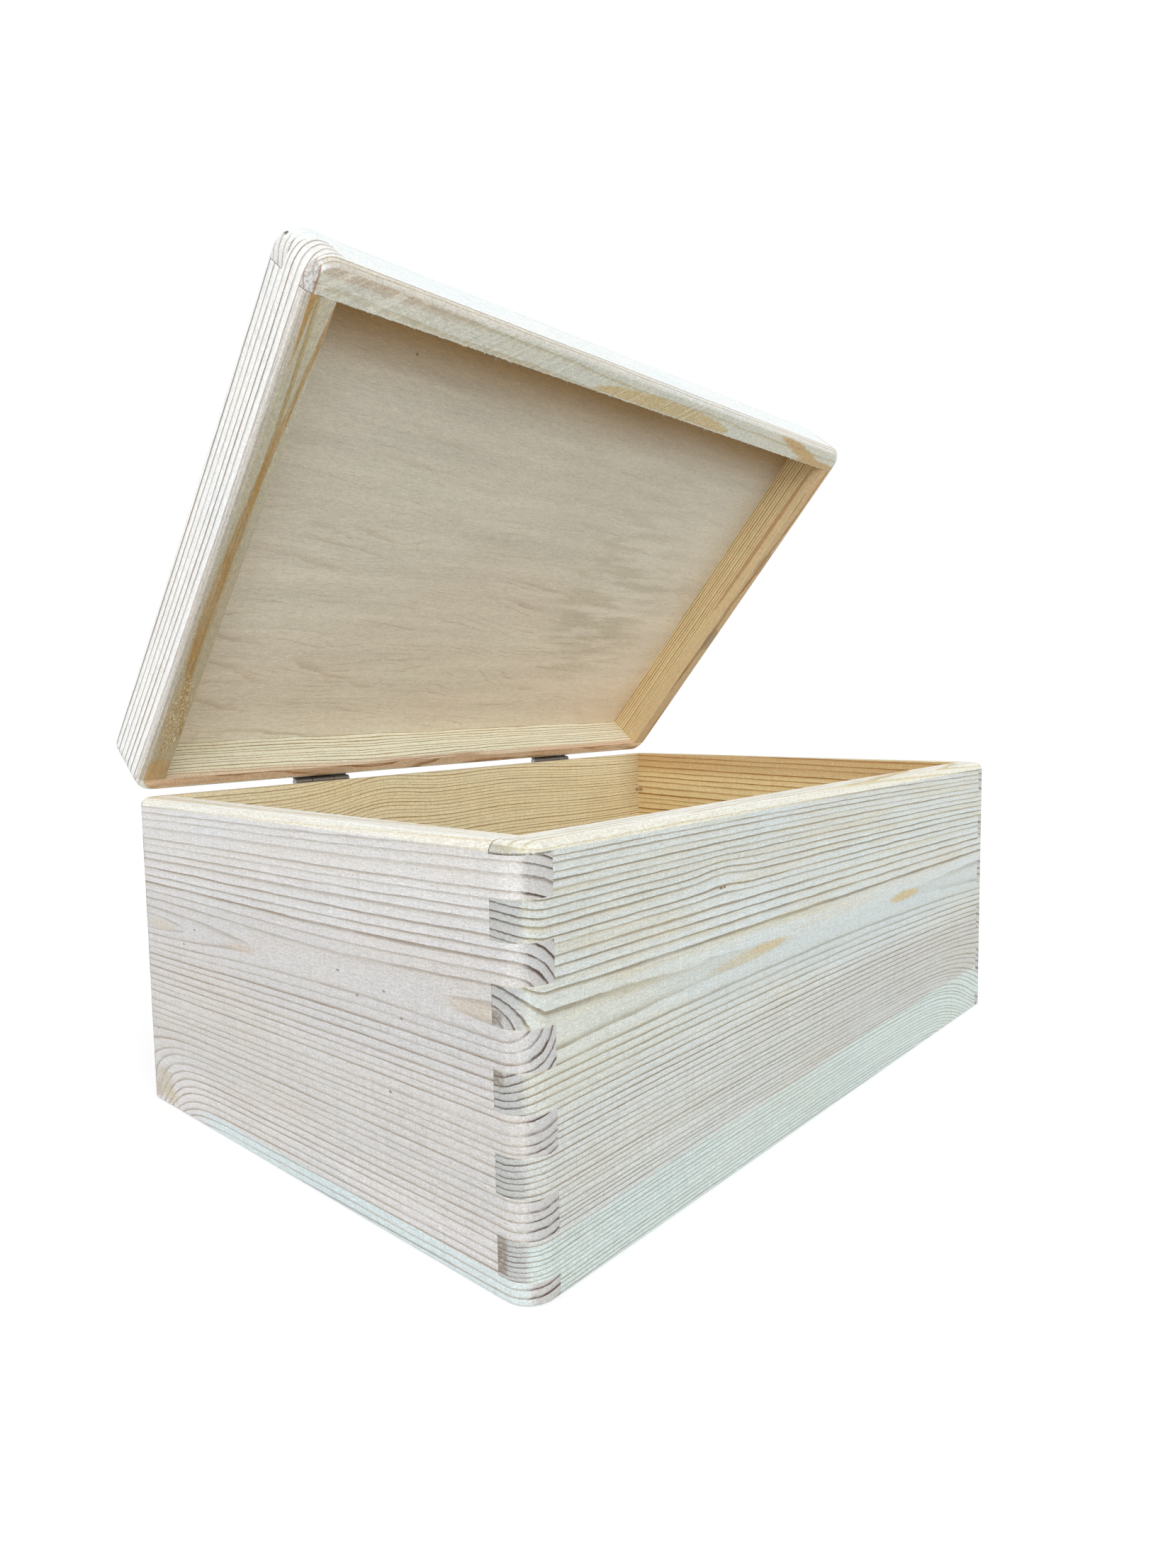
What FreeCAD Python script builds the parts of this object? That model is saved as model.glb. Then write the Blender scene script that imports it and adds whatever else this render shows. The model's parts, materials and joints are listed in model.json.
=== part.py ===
import FreeCAD, Part
import os

from FreeCAD import Vector

# A pine toy box with a hinged lid. Its walls lock together with fingers at the corners,
# thin plywood panels close the bottom and the lid, and two small steel hinges are
# screwed on behind. Millimetres: X runs along the box, Y from its front to its back,
# Z up. The origin is the middle of the underside.

# Box and lid, outside
LENGTH = 300.0
WIDTH = 192.0
BOX_HEIGHT = 108.5
LID_HEIGHT = 22.5
LID_GAP = 0.3           # between the rim and the shut lid
OPEN_ANGLE = 49.4       # how far the lid stands open

# Boards and panels
WALL = 10.4             # front and end boards, and the lid's front and end rails
BACK = 6.5              # back board and the lid's back rail
PANEL = 3.6             # plywood
REBATE_SHARE = 0.5      # share of a wall's thickness that its panel rebate takes
REBATE_CORNER = 4.0     # radius that the router leaves in a rebate's corners

# Fingers, counted from the seam between box and lid
FINGER = 10.0
FIRST_FINGER = 3.0      # what sawing the lid off left of the finger at the seam

# Eased edges
CORNER_RADIUS = 8.0     # upright outer corners
ROUNDOVER = 3.0         # outer edges of the rim, of the lid's lip and of its top
FOOT_EASE = 0.5         # outer bottom edge

# Hinges
HINGES = {"left": -69.5, "right": 73.0}     # centre of each hinge from the middle of the box
HINGE_WIDTH = 26.0
LEAF_REACH = 15.0       # from the hinge's axis to the leaf's far edge
LEAF = 0.7              # sheet thickness
LEAF_CORNER = 1.5
BARREL_RADIUS = 1.5
PIN_RADIUS = 0.8
RUNNING_FIT = 0.05      # radial, between the pin and the lid's knuckle
OUTER_KNUCKLE = 7.5     # length of each of the two knuckles on the box's leaf
CLEARANCE = 0.3         # between pieces that turn past each other
AXIS_BEHIND = 0.85      # the axis stands this far behind the back face
AXIS_Y = WIDTH / 2 + AXIS_BEHIND
AXIS_Z = BOX_HEIGHT + LID_GAP / 2

# Countersunk screws
SCREW_SPREAD = 7.3      # from the hinge's centre line
SCREW_DROP = 9.5        # from the hinge's axis
SCREW_LENGTH = 5.8
SCREW_TIP = 1.6
SHANK_RADIUS = 1.0
HEAD_RADIUS = 2.0
HEAD_FIT = 0.05         # between a head and the leaf's countersink
RECESS_WIDTH = 0.45
RECESS_SPAN = 2.2
RECESS_DEPTH = 0.7

TOUCH = 1e-6            # heights nearer than this are the same


def block(x, y, z):
    """A plain block between three (low, high) pairs."""
    size = [high - low for low, high in (x, y, z)]
    return Part.makeBox(*size, Vector(x[0], y[0], z[0]))


def upright_edges(shape):
    return [edge for edge in shape.Edges if max(edge.BoundBox.XLength, edge.BoundBox.YLength) < TOUCH]


def level_edges(shape, z):
    """The shape's edges whose ends both stand at one height."""
    return [edge for edge in shape.Edges if all(abs(end.Point.z - z) < TOUCH for end in edge.Vertexes)]


def rounded_block(x, y, z, corner):
    """A block with its four upright edges rounded."""
    shape = block(x, y, z)
    return shape.makeFillet(corner, upright_edges(shape))


def outer_form(low, high, low_ease):
    """The outside of the box or the lid, with its corners and outer edges eased."""
    form = rounded_block((-LENGTH / 2, LENGTH / 2), (-WIDTH / 2, WIDTH / 2), (low, high), CORNER_RADIUS)
    form = form.makeFillet(ROUNDOVER, level_edges(form, high))
    return form.makeFillet(low_ease, level_edges(form, low))


def finger_bands(seam, far):
    """Heights of the fingers as (low, high) pairs, from the seam to the far edge."""
    way = 1 if far > seam else -1
    edges = [seam, seam + way * FIRST_FINGER]
    while way * (far - edges[-1]) > FINGER:
        edges.append(edges[-1] + way * FINGER)
    edges.append(far)
    return [tuple(sorted(pair)) for pair in zip(edges, edges[1:])]


# Where each wall stands: its own slab, as (low, high) pairs in X and Y.
ACROSS = (-LENGTH / 2, LENGTH / 2)
THROUGH = (-WIDTH / 2, WIDTH / 2)
LEFT = (-LENGTH / 2, WALL - LENGTH / 2)
RIGHT = (LENGTH / 2 - WALL, LENGTH / 2)
FRONT = (-WIDTH / 2, WALL - WIDTH / 2)
REAR = (WIDTH / 2 - BACK, WIDTH / 2)


def long_wall(form, bands, y):
    """The front or back wall: it owns every second finger, from the seam on."""
    wall = form.common(block(ACROSS, y, (form.BoundBox.ZMin, form.BoundBox.ZMax)))
    slots = [block(x, y, band) for band in bands[1::2] for x in (LEFT, RIGHT)]
    return wall.cut(slots).removeSplitter()


def end_wall(form, bands, x):
    """The left or right wall: its fingers fill the long walls' slots."""
    wall = form.common(block(x, THROUGH, (form.BoundBox.ZMin, form.BoundBox.ZMax)))
    slots = [block(x, y, band) for band in bands[0::2] for y in (FRONT, REAR)]
    return wall.cut(slots).removeSplitter()


def panel_shape(z):
    """A plywood panel, let into a rebate in all four walls."""
    side = WALL * REBATE_SHARE
    rear = BACK * REBATE_SHARE
    x = (LEFT[1] - side, RIGHT[0] + side)
    y = (FRONT[1] - side, REAR[0] + rear)
    return rounded_block(x, y, z, REBATE_CORNER)


def walls(form, bands, panel):
    """Front, back, left and right walls of the box or the lid, rebated for its panel."""
    raw = [long_wall(form, bands, FRONT), long_wall(form, bands, REAR),
           end_wall(form, bands, LEFT), end_wall(form, bands, RIGHT)]
    return [wall.cut(panel).removeSplitter() for wall in raw]


def rod(x, radius):
    """A cylinder round the hinge's axis between two X."""
    return Part.makeCylinder(radius, x[1] - x[0], Vector(x[0], AXIS_Y, AXIS_Z), Vector(1, 0, 0))


def knuckle_spans(centre):
    """X of the two knuckles on the box's leaf, and of the lid's knuckle between them."""
    low, high = centre - HINGE_WIDTH / 2, centre + HINGE_WIDTH / 2
    outer = [(low, low + OUTER_KNUCKLE), (high - OUTER_KNUCKLE, high)]
    middle = (outer[0][1] + CLEARANCE, outer[1][0] - CLEARANCE)
    return outer, middle


def screw(x, z, grow=0.0):
    """A countersunk wood screw in the back, its head flush with the leaf."""
    face = WIDTH / 2 + LEAF
    neck = face - (HEAD_RADIUS - SHANK_RADIUS)
    tip = face - SCREW_LENGTH
    inward = Vector(0, -1, 0)
    head = Part.makeCone(HEAD_RADIUS + grow, SHANK_RADIUS + grow, face - neck, Vector(x, face, z), inward)
    shank = Part.makeCylinder(SHANK_RADIUS + grow, neck - tip - SCREW_TIP, Vector(x, neck, z), inward)
    point = Part.makeCone(SHANK_RADIUS + grow, 0.0, SCREW_TIP, Vector(x, tip + SCREW_TIP, z), inward)
    return head.fuse([shank, point]).removeSplitter()


def cross_recess(x, z):
    face = (WIDTH / 2 + LEAF - RECESS_DEPTH, WIDTH / 2 + LEAF)
    wide, thin = RECESS_SPAN / 2, RECESS_WIDTH / 2
    level = block((x - wide, x + wide), face, (z - thin, z + thin))
    upright = block((x - thin, x + thin), face, (z - wide, z + wide))
    return level.fuse(upright)


def screw_places(centre, way):
    """(x, z) of a leaf's screws; way is -1 for the box's leaf and 1 for the lid's."""
    return [(centre + side * SCREW_SPREAD, AXIS_Z + way * SCREW_DROP) for side in (-1, 1)]


def leaf(knuckles, centre, way, bore):
    """A hinge leaf: a plate flat on the wood, its tongues rolled round the pin."""
    sheet = (WIDTH / 2, WIDTH / 2 + LEAF)
    far, near = AXIS_Z + way * LEAF_REACH, AXIS_Z + way * (BARREL_RADIUS + CLEARANCE)
    x = (centre - HINGE_WIDTH / 2, centre + HINGE_WIDTH / 2)
    plate = block(x, sheet, tuple(sorted((far, near))))
    corners = [edge for edge in level_edges(plate, far) if edge.BoundBox.YLength > LEAF / 2]
    plate = plate.makeFillet(LEAF_CORNER, corners)
    tongues = [block(span, sheet, tuple(sorted((near, AXIS_Z)))) for span in knuckles]
    barrels = [rod(span, BARREL_RADIUS) for span in knuckles]
    holes = [rod(span, bore) for span in knuckles]
    sinks = [screw(x, z, HEAD_FIT) for x, z in screw_places(centre, way)]
    return plate.fuse(tongues + barrels).cut(holes + sinks).removeSplitter()


def screws(centre, way):
    """A leaf's two screws, as separate solids of one group."""
    return [screw(x, z).cut(cross_recess(x, z)) for x, z in screw_places(centre, way)]


def open_lid(shape):
    """Turn a piece of the shut lid up about the hinges."""
    turned = shape.copy()
    turned.rotate(Vector(0, AXIS_Y, AXIS_Z), Vector(-1, 0, 0), OPEN_ANGLE)
    return turned


# The box
box_form = outer_form(0.0, BOX_HEIGHT, FOOT_EASE)
bottom_panel = panel_shape((0.0, PANEL))
box_walls = walls(box_form, finger_bands(BOX_HEIGHT, 0.0), bottom_panel)
parts = dict(zip(("front_board", "back_board", "left_end_board", "right_end_board"), box_walls))
parts["bottom_panel"] = bottom_panel

# The lid, shut
lid_low = BOX_HEIGHT + LID_GAP
lid_top = lid_low + LID_HEIGHT
lid_form = outer_form(lid_low, lid_top, ROUNDOVER)
lid_panel = panel_shape((lid_top - PANEL, lid_top))
lid_walls = walls(lid_form, finger_bands(lid_low, lid_top), lid_panel)
lid = dict(zip(("lid_front_rail", "lid_back_rail", "lid_left_rail", "lid_right_rail"), lid_walls))
lid["lid_panel"] = lid_panel

# The hinges
for side, centre in HINGES.items():
    outer, middle = knuckle_spans(centre)
    pin_span = (outer[0][0], outer[1][1])
    parts[f"hinge_{side}_body_leaf"] = leaf(outer, centre, -1, PIN_RADIUS)
    parts[f"hinge_{side}_pin"] = rod(pin_span, PIN_RADIUS)
    lid[f"hinge_{side}_lid_leaf"] = leaf([middle], centre, 1, PIN_RADIUS + RUNNING_FIT)
    for pieces, name, wood, way in ((parts, "body", "back_board", -1), (lid, "lid", "lid_back_rail", 1)):
        pieces[wood] = pieces[wood].cut([screw(x, z) for x, z in screw_places(centre, way)])
        pieces[f"hinge_{side}_{name}_screws"] = Part.makeCompound(screws(centre, way))

parts.update({name: open_lid(shape) for name, shape in lid.items()})

os.makedirs("parts", exist_ok=True)
for name, shape in parts.items():
    shape.exportStep(f"parts/{name}.step")
    print(f"{name}: {len(shape.Solids)} solid(s), {shape.Volume:.1f} mm3, valid {shape.isValid()}")
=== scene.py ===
import json
import math

import bmesh
import bpy
import numpy as np
from mathutils import Euler, Matrix, Vector


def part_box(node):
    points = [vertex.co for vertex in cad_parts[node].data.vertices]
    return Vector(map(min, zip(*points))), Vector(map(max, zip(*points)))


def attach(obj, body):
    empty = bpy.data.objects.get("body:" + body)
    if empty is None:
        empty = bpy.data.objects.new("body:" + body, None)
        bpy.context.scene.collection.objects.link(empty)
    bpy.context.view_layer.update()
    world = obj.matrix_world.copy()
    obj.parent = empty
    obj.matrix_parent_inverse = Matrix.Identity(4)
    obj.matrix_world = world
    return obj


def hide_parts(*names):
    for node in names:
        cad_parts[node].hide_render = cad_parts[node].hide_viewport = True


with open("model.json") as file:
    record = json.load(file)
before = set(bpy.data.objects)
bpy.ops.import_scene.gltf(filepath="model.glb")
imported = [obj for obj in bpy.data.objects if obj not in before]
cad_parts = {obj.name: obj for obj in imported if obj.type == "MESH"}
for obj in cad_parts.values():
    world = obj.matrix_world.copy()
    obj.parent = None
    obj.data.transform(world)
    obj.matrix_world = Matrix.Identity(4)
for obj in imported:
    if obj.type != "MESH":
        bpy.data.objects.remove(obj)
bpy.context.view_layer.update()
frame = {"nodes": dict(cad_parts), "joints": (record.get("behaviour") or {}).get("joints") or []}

# ------------------------ Front board
# A pine board planed to thickness, with comb fingers cut in both ends, glued into the
# end boards' fingers and sanded flush outside. It is bare: every growth ring shows.

MM_PER_METRE = 1000.0


class Field:
    """A value worked out at every point of a surface. Arithmetic on it adds shader nodes."""

    def __init__(self, tree, socket):
        self.tree = tree
        self.socket = socket

    def add(self, kind, wires, **settings):
        """Add a shader node, set it up, and wire or set its inputs by name or number."""
        node = self.tree.nodes.new(kind)
        for name, value in settings.items():
            setattr(node, name, value)
        for key, value in wires.items():
            if isinstance(value, Field):
                self.tree.links.new(value.socket, node.inputs[key])
            else:
                node.inputs[key].default_value = value
        return node

    def made(self, node, output=0):
        """The field that comes out of a node."""
        return Field(self.tree, node.outputs[output])

    def math(self, operation, *others):
        """Arithmetic on this field and others, each a field or a plain number."""
        wires = dict(enumerate((self,) + others))
        return self.made(self.add("ShaderNodeMath", wires, operation=operation))

    def __add__(self, other):
        return self.math("ADD", other)

    def __sub__(self, other):
        return self.math("SUBTRACT", other)

    def __mul__(self, other):
        return self.math("MULTIPLY", other)

    def __truediv__(self, other):
        return self.math("DIVIDE", other)

    def __pow__(self, other):
        return self.math("POWER", other)

    def __neg__(self):
        return self * -1.0

    def __rsub__(self, other):
        return -self + other

    __radd__ = __add__
    __rmul__ = __mul__

    def rise(self, low, high):
        """0 below low, 1 above high and an S-shaped rise between; low above high falls."""
        if low > high:
            return 1.0 - self.rise(high, low)
        wires = {"Value": self, "From Min": low, "From Max": high}
        node = self.add("ShaderNodeMapRange", wires, interpolation_type="SMOOTHSTEP")
        return self.made(node)

    def parts(self):
        """The three parts of a vector field."""
        node = self.add("ShaderNodeSeparateXYZ", {0: self})
        return [self.made(node, index) for index in range(3)]

    def stretched(self, scale, shift=0.0):
        """A vector field times one number for each part, moved along."""
        wires = {"Vector": self, "Scale": scale, "Location": (shift, 0.37 * shift, 0.71 * shift)}
        return self.made(self.add("ShaderNodeMapping", wires))

    def noise(self, detail=2.0, rough=0.5, kind="3D"):
        """Smooth noise from 0 to 1, about 0.5, over this field as its place."""
        place = {"Vector": self} if kind == "3D" else {"W": self}
        wires = {**place, "Scale": 1.0, "Detail": detail, "Roughness": rough}
        return self.made(self.add("ShaderNodeTexNoise", wires, noise_dimensions=kind))

    def grain(self, along, across, shift, detail=2.0, rough=0.5):
        """Noise over a place, with so many waves to a millimetre along a board and across."""
        return self.stretched((along, across, across), shift).noise(detail, rough)

    def sway(self, scale, shift=0.0, detail=2.0, rough=0.5):
        """Noise along a single value, with so many waves to a millimetre."""
        return (self * scale + shift).noise(detail, rough, "1D")

    def mixed(self, low, high):
        """The colour low where this field is 0 and high where it is 1."""
        low, high = (shade if isinstance(shade, Field) else (*shade, 1.0) for shade in (low, high))
        node = self.add("ShaderNodeMix", {0: self, 6: low, 7: high}, data_type="RGBA")
        return self.made(node, 2)

    def toned(self, red, green, blue):
        """A colour field with its three parts multiplied, each by its own field."""
        tone = self.made(self.add("ShaderNodeCombineColor", {0: red, 1: green, 2: blue}))
        wires = {0: 1.0, 6: self, 7: tone}
        node = self.add("ShaderNodeMix", wires, data_type="RGBA", blend_type="MULTIPLY")
        return self.made(node, 2)


def tint(red, green, blue):
    """A colour as seen on a screen, each part up to 255, as the light it stands for."""
    seen = [part / 255 for part in (red, green, blue)]
    return tuple(part / 12.92 if part < 0.04045 else ((part + 0.055) / 1.055) ** 2.4
                 for part in seen)


def painted(colour, coats):
    """A colour field with coats laid over it: how much of each, 0 to 1, and its shade."""
    for amount, shade in coats:
        colour = amount.mixed(colour, shade if isinstance(shade, Field) else tint(*shade))
    return colour


def blank_material(name):
    """A node material, its place field in metres, and its shader."""
    material = bpy.data.materials.new(name)
    material.use_nodes = True
    tree = material.node_tree
    coordinates = tree.nodes.new("ShaderNodeTexCoord")
    return material, Field(tree, coordinates.outputs["Object"]), tree.nodes["Principled BSDF"]


def finish(shader, colour, rough, relief, bumps, dials):
    """Wire a shader's colour, roughness and bumps, and set its other inputs by name."""
    wires = {"Strength": bumps[0], "Distance": bumps[1], "Height": relief}
    normal = relief.made(relief.add("ShaderNodeBump", wires))
    for name, value in (("Base Color", colour), ("Roughness", rough), ("Normal", normal)):
        relief.tree.links.new(value.socket, shader.inputs[name])
    for name, value in dials.items():
        shader.inputs[name].default_value = value


def wall_frame(side, face):
    """Box to board: along the grain, up, and out of the board's outer face (mm).

    The board's outside is turned to face -Y, so up becomes the second part and the
    way out the third; face is how far the outer face stands from the box's middle.
    """
    turn = {"front": 0.0, "left": 90.0, "back": 180.0, "right": -90.0}[side]
    lie_down = Matrix.Rotation(math.radians(-90.0), 4, "X")
    spin = Matrix.Rotation(math.radians(turn), 4, "Z")
    return Matrix.Translation((0.0, 0.0, -face)) @ lie_down @ spin


def board_place(metres, matrix):
    """The surface's place in a board's own frame, in millimetres."""
    wires = {"Vector": metres, "Scale": (MM_PER_METRE,) * 3,
             "Rotation": matrix.to_euler(), "Location": matrix.translation}
    return metres.made(metres.add("ShaderNodeMapping", wires))


def board_normal(metres, matrix):
    """How squarely the surface faces along the grain, up and out of a board, -1 to 1."""
    coordinates = next(node for node in metres.tree.nodes if node.type == "TEX_COORD")
    normal = Field(metres.tree, coordinates.outputs["Normal"])
    parts = []
    for row in matrix.to_3x3():
        wires = {0: normal, 1: tuple(row)}
        node = metres.add("ShaderNodeVectorMath", wires, operation="DOT_PRODUCT")
        parts.append(metres.made(node, "Value"))
    return parts


def blotch(place, first, second, spot, reach, slope=0.0, wobble=0.8, soft=0.35):
    """1 inside an ellipse with a wandering edge, 0 outside, over two parts of the place."""
    across = first - spot[0]
    down = (second - spot[1] - across * slope) / reach[1]
    across = across / reach[0]
    wander = place.grain(0.3, 0.6, spot[0], 3.0, 0.6)
    far = across * across + down * down + (wander - 0.5) * (2.0 * wobble)
    return far.rise(1.0 + soft, 1.0 - soft)


# What every log has unless its board says otherwise, in the millimetres of the board cut
# from it. up and out place its heart where along is 0, and a slope and two bows bend that
# line. rings is how many come to a millimetre, crowding how much closer they are further
# out, and below how many times as close under the heart. phase turns them all; wander and
# uneven disturb them. A knot (along, up, push, reach along, reach up) takes push of them
# off at its middle. Within faint_within of the heart the lines are fainter.
PLAIN_LOG = {
    "up_slope": 0.0, "up_bow": 0.0, "up_bow_at": 0.0, "out_bow": 0.0, "out_bow_at": 0.0,
    "crowding": 0.0, "below": 1.0, "phase": 0.0, "uneven": 0.7, "knots": [], "faint_within": 0.0,
}
RAGGED = 0.7                # how far, in millimetres, fine noise moves a ring


def growth(place, log):
    """The number of rings between a point and the heart, and how the saw met them there.

    The distance is the root of the squares of the ways up and out, moved by noise. The rings
    are that times one number plus its square times another, less a bell round each knot.
    Also given: 1 where the cut only skims the rings, falling to 0 where it crosses them
    squarely, and the way out as a share of the distance.
    """
    along, up, out = place.parts()
    up_bow = along - log["up_bow_at"]
    out_bow = along - log["out_bow_at"]
    heart_up = log["up"] + along * log["up_slope"] + up_bow * up_bow * log["up_bow"]
    heart_out = log["out"] + out_bow * out_bow * log["out_bow"]
    rise = up - heart_up
    rise = rise * (1.0 + rise.math("LESS_THAN", 0.0) * (log["below"] - 1.0))
    depth = out - heart_out
    radius = (rise * rise + depth * depth).math("SQRT")
    height = rise.math("ABSOLUTE")
    skimmed = (height / radius).rise(0.5, 0.1)
    if log["faint_within"]:
        faint = height.rise(log["faint_within"], 0.3 * log["faint_within"]) * 0.4
        skimmed = skimmed.math("MAXIMUM", faint)
    wander = place.grain(0.012, 0.06, log["seed"], 3.0, 0.55)
    ragged = place.grain(0.06, 0.5, log["seed"], 4.0, 0.6)
    radius = radius + (wander - 0.5) * log["wander"] + (ragged - 0.5) * RAGGED
    rings = radius * log["rings"] + radius * radius * log["crowding"] + log["phase"]
    for knot_along, knot_up, push, reach_along, reach_up in log["knots"]:
        far_along = (along - knot_along) / reach_along
        far_up = (up - knot_up) / reach_up
        far = far_along * far_along + far_up * far_up
        rings = rings - (-far).math("EXPONENT") * push
    rings = rings + (rings.sway(0.43, log["seed"], 1.0) - 0.5) * log["uneven"]
    return rings, skimmed, depth.math("ABSOLUTE") / radius


# Shares of a ring's width at which its dark line starts and ends, on faces and on end grain
LINE_START, LINE_END = (0.66, 0.9), (1.0, 0.955)
TIP_LINE_START, TIP_LINE_END = (0.68, 0.9), (1.0, 0.97)
TIP_BOLD = 1.35             # how dark the lines are on end grain
GLOW_CURVE = 1.6            # how late in a ring the tan before its line comes
INWARD = (-0.4, -0.8)       # how far a surface turns from outwards to count as the inside
END_GRAIN = (0.6, 0.85)     # how squarely it faces along the grain to count as an end
BLUSH = 0.16                # how far red and blue drift apart over a board
PINE_BUMPS = (0.55, 0.0002)     # strength, and height in metres
PINE_GLOSS = {"Specular IOR Level": 0.2}


def pine(name, matrix, log, looks, marks=None):
    """Pine cut from one log.

    The colour darkens slowly towards each ring's late wood and drops back sharply, so faces
    show lines and flames, and ends show the same rings as arcs. marks gives the coats that
    are only on this board.
    """
    material, metres, shader = blank_material(name)
    place = board_place(metres, matrix)
    rings, skimmed, outwards = growth(place, log)

    # Each ring's own strength, and its slow rise and sharp drop
    number = rings.math("FLOOR")
    share = rings - number
    wires = {"W": number + log["seed"]}
    draw = metres.made(metres.add("ShaderNodeTexWhiteNoise", wires, noise_dimensions="1D"))
    patches = place.grain(0.025, 0.35, log["seed"] + 5.0).rise(0.25, 0.6)
    fuzz = place.grain(0.8, 1.5, 7.0, 3.0, 0.7)
    strength = (0.5 + draw * 0.5) * (0.55 + patches * 0.45) * (0.45 + fuzz * 1.1)
    line = share.rise(*LINE_START) * share.rise(*LINE_END)
    tip_line = share.rise(*TIP_LINE_START) * share.rise(*TIP_LINE_END)

    # Which way the surface faces: inside, edge, end grain or outside
    ahead, upward, outward = board_normal(metres, matrix)
    inside = outward.rise(*INWARD)
    toward_edge = upward * looks["edge_faces"]
    edge = toward_edge.rise(*looks["edge_turns"])
    end = ahead.math("ABSOLUTE").rise(*END_GRAIN)
    away = (-toward_edge).rise(0.3, 0.8) * outwards.rise(0.6, 0.3)
    skimmed = skimmed.math("MAXIMUM", away)
    shades = []
    ways = [looks[way] for way in ("outside", "inside", "edge", "end")]
    for outer, inner, rim, tip in zip(*ways):
        shade = inside.mixed(tint(*outer), tint(*inner))
        shade = edge.mixed(shade, tint(*rim))
        shades.append(end.mixed(shade, tint(*tip)))
    early, warm, late = shades

    # The early wood, the tan before each line, and the line
    glow = share.rise(0.1, 0.95) ** GLOW_CURVE * (1.0 - skimmed * 0.75)
    cloud = place.grain(0.012, 0.05, 13.0).rise(0.4, 0.75)
    colour = (cloud * 0.3 + glow * strength * 0.85).math("MINIMUM", 1.0).mixed(early, warm)
    line = (line + end * (tip_line - line)) * (1.0 - skimmed * (1.0 - end) * 0.85)
    bold = looks["bold"]
    darkness = line * strength * (bold + end * (TIP_BOLD - bold))
    colour = darkness.math("MINIMUM", 1.0).mixed(colour, late)
    if marks:
        faces = {"inside": inside, "edge": edge, "end": end, "line": line,
                 "flat": toward_edge.rise(0.82, 0.97)}
        colour = painted(colour, marks(place, faces))

    # Fibres along the board, fuzz from sanding, and faint marks across
    fibre = place.grain(0.05, 2.2, 3.0, 3.0, 0.65)
    across = place.grain(1.3, 0.04, 11.0, 2.0, 0.6)
    fine = place.grain(1.7, 2.8, 17.0, 2.0, 0.7)
    hairs = place.grain(0.45, 3.2, 29.0, 2.0, 0.6)
    tone = 1.0 + (fibre - 0.5) * 0.2 + (fuzz - 0.5) * 0.5 + (fine - 0.5) * 0.8
    tone = tone + (hairs - 0.5) * 0.5 + (across - 0.5) * 0.16
    blush = (place.grain(0.02, 0.06, 23.0) - 0.5) * BLUSH
    colour = colour.toned(tone + blush * 0.5, tone, tone - blush * 0.5)
    rough = 0.66 + fuzz * 0.2 - line * 0.1
    relief = fuzz * 0.7 + fibre * 0.5 + fine * 0.8 - line * 0.5
    finish(shader, colour, rough, relief, PINE_BUMPS, PINE_GLOSS)
    return material


MERGE = 1e-7                # metres: points nearer than this are one
FLAT = math.radians(0.5)    # faces that meet flatter than this are one face
SHARP = math.radians(40.0)  # edges sharper than this are eased


def put(name, data):
    """A new object in the scene, at the origin."""
    piece = bpy.data.objects.new(name, data)
    bpy.context.scene.collection.objects.link(piece)
    return piece


def eased(node, body, material, width):
    """A piece's own CAD shape with its sharp edges taken off, standing for it."""
    cad = frame["nodes"][node].data
    shape = bmesh.new()
    shape.from_mesh(cad)
    bmesh.ops.remove_doubles(shape, verts=shape.verts, dist=MERGE)
    bmesh.ops.dissolve_limit(shape, angle_limit=FLAT, verts=shape.verts, edges=shape.edges)
    mesh = bpy.data.meshes.new(node + "_shape")
    shape.to_mesh(mesh)
    shape.free()
    for name in [layer.name for layer in mesh.attributes]:
        if name.startswith("custom_normal"):
            mesh.attributes.remove(mesh.attributes[name])
    piece = put(node + "_finished", mesh)
    mesh.materials.append(material)
    for face in mesh.polygons:
        face.use_smooth = True
        face.material_index = 0
    ease = piece.modifiers.new("ease", "BEVEL")
    ease.width = width
    ease.segments = 2
    ease.limit_method = "ANGLE"
    ease.angle_limit = SHARP
    even = piece.modifiers.new("even", "WEIGHTED_NORMAL")
    even.keep_sharp = True
    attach(piece, body)
    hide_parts(node)


EASE = 0.00018              # metres, on every wooden edge
half_width = -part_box("front_board")[0].y * MM_PER_METRE
half_length = -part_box("front_board")[0].x * MM_PER_METRE

# Colours are early wood, the tan before each line, and the line itself, for each way a
# board faces. bold is how dark its lines are. The edge is the side that faces up, and
# starts where the rim's rounding leaves the face.
BOX_FACES = {
    "bold": 1.0, "edge_faces": 1.0, "edge_turns": (0.08, 0.3),
    "end": ((197, 198, 196), (180, 177, 171), (112, 104, 99)),
}
front_looks = {
    **BOX_FACES, "bold": 1.4,
    "outside": ((214, 220, 218), (204, 199, 182), (146, 138, 121)),
    "inside": ((234, 222, 190), (220, 202, 160), (176, 150, 106)),
    "edge": ((255, 255, 249), (252, 249, 232), (222, 206, 166)),
}
front_log = {
    **PLAIN_LOG, "up": 64.0, "up_bow": -0.000075, "up_bow_at": -70.0,
    "out": -12.15, "out_bow": 0.000069, "out_bow_at": 7.0,
    "below": 1.22, "rings": 0.36, "crowding": 0.0024, "wander": 0.5, "seed": 3.0, "phase": 0.352,
    "knots": [(-68.0, 90.0, 0.6, 12.0, 5.0), (156.0, -6.0, 14.0, 42.0, 26.0)],
}

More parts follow.
